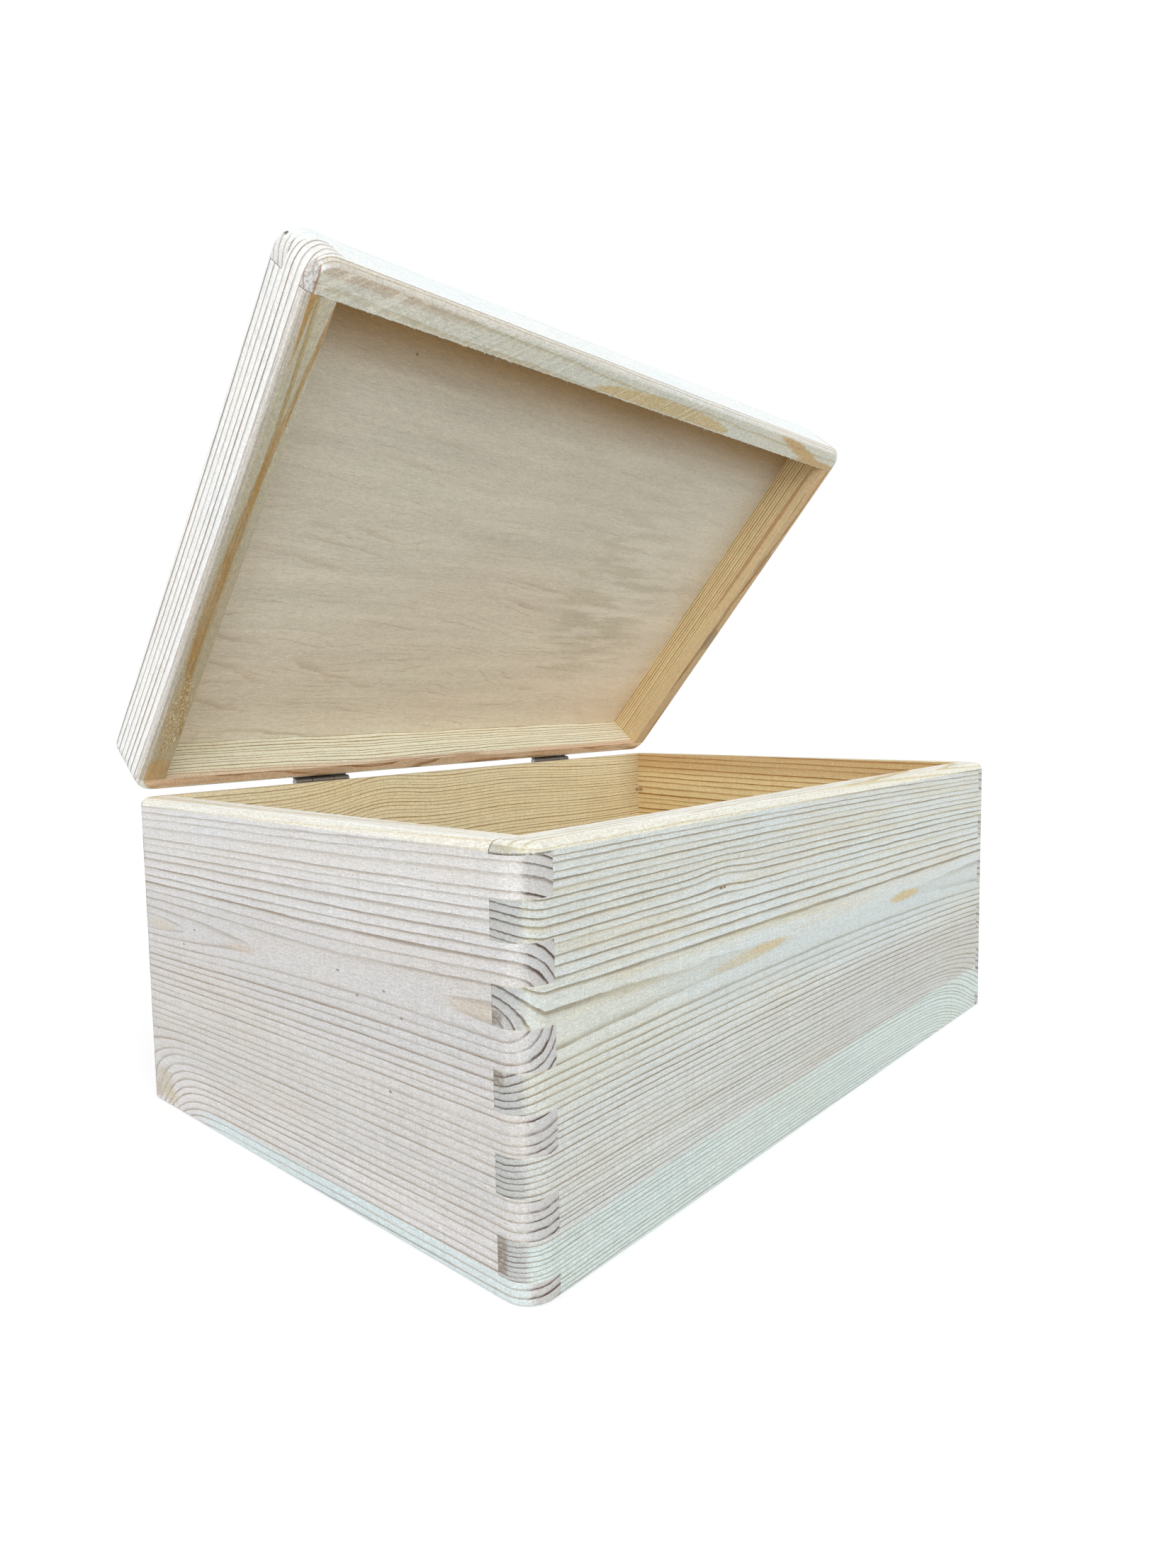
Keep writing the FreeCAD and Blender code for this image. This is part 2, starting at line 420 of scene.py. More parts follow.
# Flame tips: where, how far they reach, how strong, and their slope
FRONT_TIPS = (
    ((-52.0, 63.5), (22.0, 1.7), 0.45, 0.03),
    ((-44.0, 64.3), (11.0, 1.2), 0.5, 0.02),
    ((60.0, 63.0), (13.0, 1.7), 0.8, 0.0),
)
BLUISH_FOOT_TOP = 17.2          # height over the foot
PIN_KNOT = (-68.4, 86.2)
PIN_KNOT_EYES = (-69.2, -67.3)
SCORCHED = ((65.6, 69.8), (51.0, 55.6), (6.0, 15.8))    # heights on the fingers' ends
CHIP = (-144.6, -7.4)       # at the rim's near corner


def rim_line(along, out, middle, fades, gap):
    """A thin line that sways along the rim and breaks up; fades is where it ends and is full."""
    near = (out - middle + (along.sway(0.02, middle) - 0.5) * 2.4).math("ABSOLUTE")
    return near.rise(*fades) * along.sway(0.03, -middle, 2.0, 0.6).rise(gap, 0.6)


def front_marks(place, faces):
    """Honey-coloured flame tips, a pin knot, a pale bluish band along the foot, scorched fingers,
    and tan lines and a chipped corner on the rim."""
    along, up, out = place.parts()
    plain = (1.0 - faces["edge"]) * (1.0 - faces["end"])
    wander = place.grain(0.02, 0.1, 21.0)
    boundary = (along * 0.02).math("MINIMUM", 1.0) + BLUISH_FOOT_TOP
    pith = up.rise(70.0, 62.0) * up.rise(46.0, 56.0) * along.rise(-120.0, -60.0)
    yield pith * 0.5 * plain, (196, 204, 202)
    # A pale bluish band along the foot, its top nearly level
    bluish_foot = (up - boundary + (wander - 0.5) * 1.5).rise(0.4, -0.5)
    yield bluish_foot * 0.5 * plain * (1.0 - faces["line"] * 0.8), (205, 223, 220)
    # A darker tone over the lower part of the face, stronger to the right
    darker_lower_part = (up + (wander - 0.5) * 12.0).rise(54.0, 38.0)
    darker_lower_part = darker_lower_part * (0.45 + along.rise(-50.0, 30.0) * 0.55)
    yield darker_lower_part * 0.4 * (1.0 - bluish_foot) * plain * (1.0 - faces["line"]), (186, 178, 173)
    amber = blotch(place, along, up, (-125.0, 60.0), (40.0, 14.0), soft=0.9)
    yield amber * 0.16 * plain, (212, 208, 176)
    streaks = place.grain(0.018, 0.45, 77.0, 3.0).rise(0.5, 0.68) * up.rise(60.0, 70.0)
    yield streaks * 0.3 * plain, (208, 196, 158)
    for spot, reach, strength, slope in FRONT_TIPS:
        tip = blotch(place, along, up, spot, reach, slope=slope, soft=0.6)
        yield tip * strength * plain, (204, 184, 138)
    knot = blotch(place, along, up, PIN_KNOT, (2.2, 0.55), wobble=0.4)
    yield knot * 0.6 * plain, (162, 142, 112)
    for eye_along in PIN_KNOT_EYES:
        eye = blotch(place, along, up, (eye_along, PIN_KNOT[1]), (0.5, 0.4), wobble=0.4)
        yield eye * 0.8 * plain, (104, 84, 62)
    mottle = place.grain(0.8, 0.8, 27.0, 3.0, 0.7).rise(0.3, 0.6)
    for low, high in SCORCHED:
        burn = out.rise(-6.6, -7.8) * up.rise(low, low + 0.7) * up.rise(high, high - 0.7)
        yield burn * (0.15 + mottle * 0.55) * faces["end"], (132, 114, 92)
    for middle, fades in ((-2.4, (0.55, 0.1)), (-5.2, (0.77, 0.14)), (-7.6, (0.66, 0.12))):
        seen = rim_line(along, out, middle, fades, 0.3)
        yield seen * faces["edge"] * 0.6, (196, 172, 120)
    # Painted shade: the rim's rounding is darkened so that it shows no brighter than its flat top
    painted_shade_on_rounding = faces["edge"] * (1.0 - faces["flat"])
    yield painted_shade_on_rounding * 0.5, (208, 203, 180)

    # The torn corner: along the foot of the end finger, down its side, and round a chip
    ragged = place.grain(0.7, 0.7, 51.0, 3.0, 0.7)
    foot = (up + (ragged - 0.5) * 0.8).rise(106.15, 105.75) * up.rise(105.2, 105.5)
    foot = foot * along.rise(-139.2, -139.7)
    side = (out + (ragged - 0.5) * 0.8).rise(-9.8, -10.15) * up.rise(105.3, 105.6)
    side = side * along.rise(-145.0, -146.0)
    chip = blotch(place, along, out, CHIP, (2.2, 1.2), slope=0.4, wobble=1.2, soft=0.3)
    chip_rim = chip * (1.0 - chip) * 3.6 * up.rise(105.6, 106.2)
    dark_edge_line = foot.math("MAXIMUM", side).math("MAXIMUM", chip_rim).math("MINIMUM", 1.0)
    yield dark_edge_line * ragged.rise(0.32, 0.5) * 0.85, (112, 100, 84)


front = pine("front board pine", wall_frame("front", half_width),
             front_log, front_looks, front_marks)
eased("front_board", "box", front, EASE)

# ------------------------ Back board
# A thinner pine board behind, jointed the same way. It carries both hinges. Its inner
# face is the golden one seen over the front when the lid is up.

back_looks = {
    **BOX_FACES, "bold": 1.15,
    "outside": ((216, 216, 208), (205, 198, 178), (150, 136, 110)),
    "inside": ((248, 237, 201), (238, 216, 168), (160, 130, 80)),
    "edge": ((240, 235, 214), (230, 218, 182), (190, 164, 112)),
}
back_log = {
    **PLAIN_LOG, "up": 30.0, "out": -22.0, "out_bow": 0.00016, "out_bow_at": 55.0,
    "below": 1.1, "rings": 0.6, "crowding": 0.0008, "wander": 1.2, "seed": 14.0,
    "knots": [(45.0, 105.0, 3.5, 26.0, 30.0), (-25.0, 105.0, 3.0, 60.0, 40.0)],
}


def back_marks(place, faces):
    """A brown run of resin inside the right-hand corner and a small stain below it."""
    along, up, _ = place.parts()
    corner = along.rise(-118.0, -142.0) * up.rise(60.0, 104.0)
    yield corner * 0.35 * faces["inside"], (170, 130, 78)
    stain = blotch(place, along, up, (-138.2, 88.0), (1.4, 1.0))
    yield stain * 0.6 * faces["inside"], (120, 92, 58)


back = pine("back board pine", wall_frame("back", half_width), back_log, back_looks, back_marks)
eased("back_board", "box", back, EASE)

# ------------------------ Left end board
# The near end: pine again, sawn so close to the heart that long flames run down its
# middle, with a knot growing in from the lower back corner and small torn pits.

left_looks = {
    **BOX_FACES,
    "outside": ((224, 222, 221), (207, 199, 189), (154, 141, 129)),
    "inside": ((224, 210, 176), (212, 192, 150), (170, 145, 102)),
    "edge": ((255, 255, 250), (253, 250, 238), (232, 216, 184)),
    "end": ((201, 200, 198), (186, 180, 175), (92, 78, 70)),
}
left_log = {
    **PLAIN_LOG, "up": 66.6, "up_slope": 0.0185,
    "out": 6.4, "out_bow": -0.00044, "out_bow_at": 25.0, "below": 1.19,
    "rings": 0.365, "wander": 0.7, "seed": 9.0, "phase": -0.14, "faint_within": 8.5,
    "knots": [(-99.0, -4.0, 9.5, 25.0, 20.0)],
}

# Flame tips and the knot's eyes: where, how far they reach, and the eyes' shades
LEFT_TIPS = (((-26.0, 65.2), (9.0, 1.2)), ((-80.0, 64.9), (11.0, 1.7)), ((84.0, 68.1), (14.0, 2.0)))
KNOT_EYES = (
    ((-83.0, 8.0), (7.0, 5.0), (188, 172, 138)),
    ((-78.0, 4.0), (5.0, 3.0), (206, 192, 158)),
    ((-89.0, 3.0), (4.0, 2.4), (182, 158, 122)),
)
LEFT_PITS = (
    (-85.5, 26.5), (-63.0, 60.5), (-55.0, 66.5), (25.5, 67.7),
    (34.0, 62.3), (45.5, 65.7), (47.0, 39.3), (52.5, 60.0),
)
# Lines on the rim: how deep in, where they fade, and their shades
LEFT_RIM_LINES = (
    (-3.1, (0.48, 0.09), (206, 176, 122)),
    (-5.6, (0.8, 0.15), (204, 180, 132)),
    (-8.2, (0.56, 0.105), (196, 164, 112)),
)


def left_marks(place, faces):
    """Honey flame tips, a darker band below them, the knot's brown eye, the pits and the
    rim's tan lines."""
    along, up, out = place.parts()
    plain = (1.0 - faces["edge"]) * (1.0 - faces["end"])
    # A darker band over the lower part of the face, above the foot
    darker_lower_part = up.rise(60.0, 40.0) * up.rise(8.0, 22.0)
    yield darker_lower_part * 0.3 * plain, (196, 190, 180)
    pith = up.rise(82.0, 72.0) * up.rise(44.0, 56.0)
    yield pith * 0.5 * plain * (1.0 - faces["line"]), (205, 202, 199)
    yield up.rise(78.0, 98.0) * 0.25 * plain, (236, 236, 233)
    # A pale bluish band along the foot, only towards the front
    bluish_foot = (up - along * 0.004).rise(5.6, 4.9) * along.rise(-62.0, -46.0)
    yield bluish_foot * 0.8 * plain * (1.0 - faces["line"] * 0.7), (216, 230, 231)
    for spot, reach in LEFT_TIPS:
        tip = blotch(place, along, up, spot, reach, soft=0.7)
        yield tip * 0.5 * plain, (208, 194, 172)
    for spot, reach, shade in KNOT_EYES:
        eye = blotch(place, along, up, spot, reach, wobble=1.2, soft=0.7)
        yield eye * 0.5 * plain * (1.0 - faces["line"]), shade
    for spot in LEFT_PITS:
        pit = blotch(place, along, up, spot, (0.7, 0.35), wobble=0.4)
        yield pit * 0.7 * plain, (132, 116, 98)
    for middle, fades, shade in LEFT_RIM_LINES:
        seen = rim_line(along, out, middle, fades, 0.36)
        yield seen * faces["edge"] * 0.32, shade
    # Painted shade: the rim's rounding is darkened so that it shows no brighter than its flat top
    painted_shade_on_rounding = faces["edge"] * (1.0 - faces["flat"])
    yield painted_shade_on_rounding * 0.4, (216, 208, 186)


left = pine("left end board pine", wall_frame("left", half_length),
            left_log, left_looks, left_marks)
eased("left_end_board", "box", left, EASE)

# ------------------------ Right end board
# The far end, a richer orange board with level rings. Only its inner face shows from
# the front; its outer face is pale like the others.

right_looks = {
    **BOX_FACES, "bold": 1.25,
    "outside": ((216, 215, 206), (204, 196, 176), (148, 132, 106)),
    "inside": ((249, 229, 180), (232, 198, 140), (166, 117, 60)),
    "edge": ((240, 232, 208), (228, 212, 172), (188, 160, 106)),
}
right_log = {
    **PLAIN_LOG, "up": -34.0, "up_slope": 0.02,
    "out": -30.0, "out_bow": 0.0002, "out_bow_at": 20.0, "rings": 0.34, "wander": 2.0, "seed": 25.0,
}


def right_marks(place, faces):
    """A plain reddish band under the rim and a stain at the back corner."""
    along, up, _ = place.parts()
    band = up.rise(96.0, 102.0)
    yield band * 0.45 * faces["inside"], (204, 158, 108)
    stain = blotch(place, along, up, (88.0, 88.0), (1.6, 1.1))
    yield stain * 0.6 * faces["inside"], (134, 92, 50)


right = pine("right end board pine", wall_frame("right", half_length),
             right_log, right_looks, right_marks)
eased("right_end_board", "box", right, EASE)

# ------------------------ Bottom panel
# Thin birch plywood let into the boards' lower rebate and glued, flush underneath.
# Rotary-cut veneer: short dark pores, and broad wavy figure along the box.

FIGURE_SLANT, FIGURE_PITCH = 0.16, 0.075    # across per along, and lines to a millimetre
THREAD_SLANT, THREAD_PITCH = 0.05, 0.36
BIRCH_BUMPS = (0.35, 0.00012)
BIRCH_GLOSS = {"Specular IOR Level": 0.25}


def birch(name, matrix, looks, marks=None):
    """Birch veneer: short pores and silky dashes along the grain, slow bands of tone, and
    thin slanting lines. A figure line stands wherever a sum of the way across, a slant and
    noise passes a whole number, and so does a thread, on a finer sum of its own."""
    material, metres, shader = blank_material(name)
    place = board_place(metres, matrix)
    along, up, _ = place.parts()
    under = board_normal(metres, matrix)[2].rise(*INWARD)

    bend = place.grain(0.006, 0.02, 31.0)
    wave = place.grain(0.03, 0.08, 5.0, 4.0, 0.6)
    layers = (up - along * FIGURE_SLANT) * FIGURE_PITCH + (bend - 0.5) * 4.0 + (wave - 0.5) * 0.7
    share = layers - layers.math("FLOOR")
    figure = share.rise(0.7, 0.97) * share.rise(1.0, 0.97)
    figure = figure * place.grain(0.02, 0.05, 9.0).rise(0.45, 0.68)

    dashes = place.grain(0.22, 1.9, 18.0, 3.0, 0.65)
    drift = place.grain(0.011, 0.04, 8.0, 1.0)
    rows = up - along * THREAD_SLANT + (drift - 0.5) * 30.0 + (dashes - 0.5) * 1.4
    rows = rows * THREAD_PITCH
    row = rows - rows.math("FLOOR")
    threads = row.rise(0.8, 0.97) * row.rise(1.0, 0.98)
    threads = threads * place.grain(0.035, 0.14, 61.0).rise(0.42, 0.66)

    blush = place.grain(0.01, 0.02, 41.0).rise(0.3, 0.7)
    colour = blush.mixed(tint(*looks["pale"]), tint(*looks["pink"]))
    pores = place.grain(0.3, 2.6, 3.0, 2.0, 0.6).rise(0.56, 0.68)
    lines = figure.math("MAXIMUM", threads)
    colour = painted(colour, [(lines * 0.45, looks["figure"]), (pores * 0.3, looks["pore"])])
    if marks:
        colour = painted(colour, marks(place, under))

    flecks = place.grain(0.9, 2.6, 12.0, 3.0, 0.7)
    bands = place.grain(0.012, 0.14, 28.0, 4.0, 0.6)
    silk = place.grain(0.5, 3.4, 71.0, 3.0, 0.7)
    tone = 1.0 + (flecks - 0.5) * 0.55 + (dashes - 0.5) * 0.34 + (bands - 0.5) * 0.36
    tone = tone + (silk - 0.5) * 0.38
    relief = flecks * 0.5 + dashes * 0.4 - pores * 0.6
    colour = colour.toned(tone, tone, tone)
    finish(shader, colour, 0.6 + flecks * 0.2, relief, BIRCH_BUMPS, BIRCH_GLOSS)
    return material


bottom_looks = {
    "pale": (214, 196, 158), "pink": (208, 184, 148),
    "figure": (186, 158, 116), "pore": (166, 138, 100),
}
bottom = birch("bottom birch", Matrix.Identity(4), bottom_looks)
eased("bottom_panel", "box", bottom, EASE)

# ------------------------ Hinges
# Two small butt hinges of thin dark-plated sheet steel. The body leaf is screwed flat on
# the back board's outside, and the wire pin is pressed through its knuckles.

STEEL_BUMPS = (0.3, 0.00003)
SHADED = 0.6                # how bright the darkest cloud on the plating is


def sheet_steel(name, metal, scuffed, rough):
    """Plated steel: cloudy tone, fine rolling lines along the box, and brighter scuffs."""
    material, metres, shader = blank_material(name)
    place = metres.stretched((MM_PER_METRE,) * 3)
    rolling = place.grain(0.4, 6.0, 2.0, 3.0, 0.6)
    cloud = place.grain(0.35, 0.35, 6.0, 3.0, 0.6)
    scuff = place.grain(1.5, 4.0, 9.0, 4.0, 0.7).rise(0.58, 0.72)
    bright = tint(*metal)
    colour = (cloud.rise(0.3, 0.7) * 0.5).mixed(bright, tuple(part * SHADED for part in bright))
    colour = painted(colour, [(scuff * 0.6 + rolling * 0.15, scuffed)])
    dull = rough + (cloud - 0.5) * 0.25 - scuff * 0.12
    finish(shader, colour, dull, rolling, STEEL_BUMPS, {"Metallic": 1.0})
    return material


LEAF_EASE = 0.00008         # metres, on the leaves' stamped edges
leaf_steel = sheet_steel("hinge leaf steel", (126, 121, 116), (170, 164, 157), 0.42)
pin_steel = sheet_steel("hinge pin steel", (168, 164, 160), (208, 204, 198), 0.34)
for side in ("left", "right"):
    eased(f"hinge_{side}_body_leaf", "box", leaf_steel, LEAF_EASE)
    frame["nodes"][f"hinge_{side}_pin"].material_slots[0].material = pin_steel

# ------------------------ Hinge screws
# Small zinc-plated countersunk screws with cross recesses, two through each leaf into
# the board behind it.

screw_steel = sheet_steel("hinge screw steel", (186, 184, 178), (222, 220, 214), 0.3)
for side in ("left", "right"):
    for half in ("body", "lid"):
        screws = frame["nodes"][f"hinge_{side}_{half}_screws"]
        screws.material_slots[0].material = screw_steel

# ------------------------ Lid front rail
# One of four shallow pine rails finger-jointed into the lid's frame. Its lower edge, the
# lip, is left as the saw cut it: cross-cut marks, resin patches and a splintery inner edge.

hinge = frame["joints"][0]
hinge_at = Vector(hinge["pos_m"]) * MM_PER_METRE
shut_turn = Matrix.Rotation(math.radians(hinge["range_deg"][0]), 4, Vector(hinge["axis"]))
shut = Matrix.Translation(hinge_at) @ shut_turn @ Matrix.Translation(-hinge_at)
front_rail = frame["nodes"]["lid_front_rail"].data
lip_points = [shut @ (point.co * MM_PER_METRE) for point in front_rail.vertices]
lip_high = min(point.z for point in lip_points)
rail_half_width = -min(point.y for point in lip_points)


def rail_frame(side, face):
    """Open lid to rail: shut it first, then as a wall, with up measured from the lip."""
    return wall_frame(side, face) @ Matrix.Translation((0.0, 0.0, -lip_high)) @ shut


# Painted light: the rails' outside colours are lighter than the box boards' own, standing in for
# the stronger light the lid catches
# A rail's edge is its lip, which faces down; the saw-cut colour is only on its flat
LID_FACES = {
    "bold": 1.0, "edge_faces": -1.0, "edge_turns": (0.945, 0.985),
    "end": ((240, 239, 235), (226, 220, 212), (160, 148, 140)),
}
lid_front_looks = {
    **LID_FACES,
    "outside": ((242, 247, 247), (238, 241, 238), (226, 226, 218)),
    "inside": ((216, 200, 160), (204, 180, 134), (166, 138, 92)),
    "edge": ((218, 219, 206), (212, 210, 192), (192, 182, 152)),
}
lid_front_log = {
    **PLAIN_LOG, "up": 70.0, "up_slope": 0.004, "out": -40.0, "out_bow": 0.00006,
    "out_bow_at": 30.0, "rings": 0.46, "wander": 1.2, "seed": 33.0,
}
# Lines along the lip: their heights, half widths and shades
LIP_LINES = ((1.9, 0.26, (172, 156, 134)), (0.9, 0.2, (190, 176, 152)))
LIP_PIT = (-148.2, 19.6)
LIP_SEAM = 147.2            # where the end rail's finger meets this one


def saw_marks(place, along, out):
    """Slanting scratches across a lip: a few broad ones at its left end, then fine even ones.

    Given as how much lighter and how much darker they make the wood."""
    slant = along * 0.5 - out * 0.66
    fine = slant.sway(0.9, 0.0, 2.0, 0.8)
    broad = slant.sway(0.32, 0.0, 3.0, 0.6).rise(0.56, 0.62)
    gaps = place.grain(0.12, 0.4, 19.0).rise(0.3, 0.6)
    left_end = along.rise(-88.0, -112.0)
    light = fine.rise(0.52, 0.64) * 0.6 + broad * left_end * 0.8
    dark = fine.rise(0.46, 0.34) * (0.5 - left_end * 0.3)
    shown = (0.3 + gaps * 0.7) * (0.15 + along.rise(85.0, 30.0) * 0.85)
    return (light * shown).math("MINIMUM", 1.0), dark * shown


def lid_front_marks(place, faces):
    """Saw marks, a honey patch by the inner edge, a brown streak at the end, lip lines, the
    inner edge's pale fringe with a painted shadow line along it, and the left tip."""
    along, up, out = place.parts()
    lip = faces["edge"]
    fade = along.rise(30.0, -60.0) * 0.35
    # Painted shade: grey on the rounding between the outer face and the lip, stronger towards the
    # left end
    painted_shade_on_rounding = up.rise(2.6, 1.8) * out.rise(-3.2, -2.0) * (1.0 - lip)
    yield painted_shade_on_rounding * (0.55 + fade), (216, 210, 197)
    band = out.rise(-5.4, -4.2) * along.rise(-80.0, -110.0) * 0.6
    band = band + along.rise(-110.0, -140.0) * 0.12
    yield band * lip, (198, 180, 160)
    honey = blotch(place, along, out, (10.5, -9.0), (42.0, 4.2), 0.008, wobble=0.45, soft=0.14)
    yield honey * out.rise(-10.0, -9.6) * 0.85 * lip, (206, 184, 132)
    brown = blotch(place, along, out, (112.0, -5.6), (21.0, 2.4), -0.17, wobble=0.9, soft=0.5)
    tail = blotch(place, along, out, (134.0, -9.4), (22.0, 1.9), soft=0.5)
    yield brown.math("MAXIMUM", tail) * 0.85 * lip, (200, 168, 114)
    light, dark = saw_marks(place, along, out)
    yield light * 0.7 * lip, (240, 237, 224)
    yield dark * 0.6 * lip, (170, 163, 142)
    wander = (along.sway(0.016, 4.0) - 0.5) * 1.2
    for line_up, wide, shade in LIP_LINES:
        near = (up - line_up + wander).math("ABSOLUTE")
        line = near.rise(wide, 0.25 * wide) * out.rise(-4.0, -2.6) * (1.0 - lip)
        yield line * 0.8, shade

    # The inner edge: a pale fringe, torn out here and there, and a painted shadow line
    fringe = out.rise(-9.9, -10.2) * along.sway(0.4, 0.0, 2.0, 0.7).rise(0.4, 0.6)
    yield fringe * 0.7 * lip, (236, 230, 212)
    # Painted shadow: a thin dark line along the lip's inner edge, for the shade in the gap beside
    # it, broken here and there
    dark_edge_line = out.rise(-10.1, -10.3) * along.sway(0.25, 3.0, 3.0, 0.7).rise(0.42, 0.5)
    yield dark_edge_line * 0.85 * (1.0 - faces["inside"] * 0.5), (104, 88, 66)

    # The left tip: rough end grain, a pit, and the seam with the left rail
    left_tip = up.rise(3.0, 2.6) * along.rise(-147.0, -147.5) * out.rise(-2.0, -3.6)
    flecks = place.grain(1.2, 1.2, 37.0, 3.0, 0.7).rise(0.45, 0.6)
    yield left_tip * (0.2 + flecks * 0.4), (140, 118, 106)
    pit = blotch(place, along, up, LIP_PIT, (0.6, 0.8), wobble=0.4) * out.rise(-3.6, -3.0)
    yield pit * 0.85, (84, 76, 70)
    seam = (along + LIP_SEAM).math("ABSOLUTE").rise(0.4, 0.15) * up.rise(1.2, 0.6)
    yield seam * out.rise(-2.0, -2.8) * 0.8, (168, 128, 112)


lid_front = pine("lid front rail pine", rail_frame("front", rail_half_width),
                 lid_front_log, lid_front_looks, lid_front_marks)
eased("lid_front_rail", "lid", lid_front, EASE)

# ------------------------ Lid left rail
# The near rail, its rings running level along it and over the rounded corner. A narrow
# golden streak wanders down its sawn lip to a rough patch of set resin near the hinge end.

lid_left_looks = {
    **LID_FACES, "bold": 1.35,
    "outside": ((250, 250, 247), (236, 231, 225), (156, 143, 134)),
    "inside": ((212, 196, 158), (200, 178, 136), (164, 136, 92)),
    "edge": ((196, 190, 168), (190, 180, 152), (176, 158, 118)),
}
lid_left_log = {
    **PLAIN_LOG, "up": -16.0, "up_bow": 0.00012, "out": -13.0,
    "rings": 0.4, "wander": 0.4, "uneven": 0.3, "seed": 44.0,
}
STREAK_TURN = 120.0         # from the front, where the golden streak turns inwards
STREAK_OUT = -4.7           # how deep in from the face it lies there
RESIN, RESIN_REACH = (-60.0, -6.4), (17.0, 3.8)
ORANGE, ORANGE_REACH = (-85.5, -6.0), (5.6, 5.4)


def lid_left_marks(place, faces):
    """Golden streaks wandering along the lip, rough set resin and a brown patch near the
    hinge end.

    The long streak's middle is a parabola about its turn, steeper beyond it, plus noise."""
    along, up, out = place.parts()
    lip = faces["edge"]
    from_front = half_width - along
    beside = out.rise(-3.2, -2.4) * (1.0 - lip) * from_front.rise(8.0, 12.0)
    # Painted shade: streaky grey on the rounding between the outer face and the lip, darkest next
    # to the lip
    streaky_shade = place.grain(0.012, 1.5, 33.0, 3.0, 0.6).rise(0.36, 0.62)
    painted_shade_on_rounding = up.rise(2.8, 1.6) * beside
    yield painted_shade_on_rounding * (0.4 + streaky_shade * 0.6), (204, 196, 186)
    inner = up.rise(1.6, 0.5) * beside
    yield inner * (0.35 + streaky_shade * 0.5), (180, 170, 150)
    yield from_front.rise(20.0, 150.0) * 0.5 * lip, (182, 164, 130)

    # The long streak and the short one beside it
    beyond = from_front - STREAK_TURN
    bend = 0.00054 + beyond.rise(-2.0, 2.0) * 0.0023
    middle = (along.sway(0.03, 2.0) - 0.5) * 0.9 + STREAK_OUT - beyond * beyond * bend
    wide = 0.85 + beyond.rise(-90.0, -10.0) * beyond.rise(40.0, 0.0) * 1.1
    near = (out - middle).math("ABSOLUTE") / wide
    threads = place.grain(0.04, 1.5, 16.0, 3.0, 0.6).rise(0.35, 0.6)
    streak = near.rise(1.25, 0.5) * (0.35 + threads * 0.6)
    yield streak * lip, (174, 136, 78)
    taper = (from_front - 10.0) * -0.052 + 1.15
    first = ((out + 3.3).math("ABSOLUTE") - taper).rise(0.2, -0.3)
    yield first * 0.85 * lip, (178, 140, 78)

    # Set resin with painted glints on it, and the patch behind it
    resin = blotch(place, along, out, RESIN, RESIN_REACH)
    painted_glints = place.grain(0.7, 1.3, 8.0, 3.0, 0.75).rise(0.5, 0.6)
    flecked = painted_glints.mixed(tint(176, 150, 104), tint(228, 216, 182))
    yield resin * (0.5 + painted_glints * 0.35) * lip, flecked
    orange = blotch(place, along, out, ORANGE, ORANGE_REACH, wobble=0.7, soft=0.6)
    yield orange * 0.6 * lip, (196, 156, 100)


lid_left = pine("lid left rail pine", rail_frame("left", half_length),
                lid_left_log, lid_left_looks, lid_left_marks)
eased("lid_left_rail", "lid", lid_left, EASE)

# ------------------------ Lid right rail
# The far rail, golden inside with close wavy rings next to the panel and a plain reddish
# band by the lip.

lid_right_looks = {
    **LID_FACES, "bold": 1.55,
    "outside": ((240, 240, 232), (230, 226, 212), (196, 184, 160)),
    "inside": ((250, 231, 188), (232, 200, 146), (158, 116, 62)),
    "edge": ((214, 186, 144), (202, 168, 122), (164, 122, 78)),
}
lid_right_log = {
    **PLAIN_LOG, "up": 46.0, "up_slope": 0.01, "out": -16.0, "out_bow": 0.0001,
    "out_bow_at": -20.0, "rings": 0.72, "wander": 1.6, "seed": 55.0,
}
LIP_PATCHES = (((-32.0, -5.0), (168, 134, 96)), ((16.0, -6.0), (150, 134, 112)))


def lid_right_marks(place, faces):
    """A plain band near the lip with a reddish streak on its front half, and lip patches."""
    along, up, out = place.parts()
    band = (up + (place.grain(0.03, 0.1, 3.0) - 0.5) * 2.0).rise(7.6, 6.2)
    yield band * 0.85 * faces["inside"], (238, 214, 172)
    streak = blotch(place, along, up, (-44.0, 5.0), (44.0, 1.1), slope=0.012)
    yield streak * 0.6 * faces["inside"], (184, 132, 84)
    for spot, shade in LIP_PATCHES:
        patch = blotch(place, along, out, spot, (7.0, 4.0))
        yield patch * 0.5 * faces["edge"], shade


lid_right = pine("lid right rail pine", rail_frame("right", half_length),
                 lid_right_log, lid_right_looks, lid_right_marks)
eased("lid_right_rail", "lid", lid_right, EASE)

# ------------------------ Lid back rail
# The rail the hinges hold, cream inside with fine wavy rings and a brown, slightly burnt
# lip where the cutter dragged.

lid_back_looks = {
    **LID_FACES, "bold": 1.65,
    "outside": ((238, 238, 230), (228, 224, 208), (190, 176, 150)),
    "inside": ((255, 253, 233), (248, 236, 198), (172, 146, 100)),
    "edge": ((238, 210, 182), (228, 196, 160), (180, 134, 92)),
}
lid_back_log = {
    **PLAIN_LOG, "up": 60.0, "out": -20.0, "rings": 0.62, "wander": 4.2, "seed": 66.0,
    "knots": [(44.0, -6.0, 1.6, 34.0, 14.0)],
}


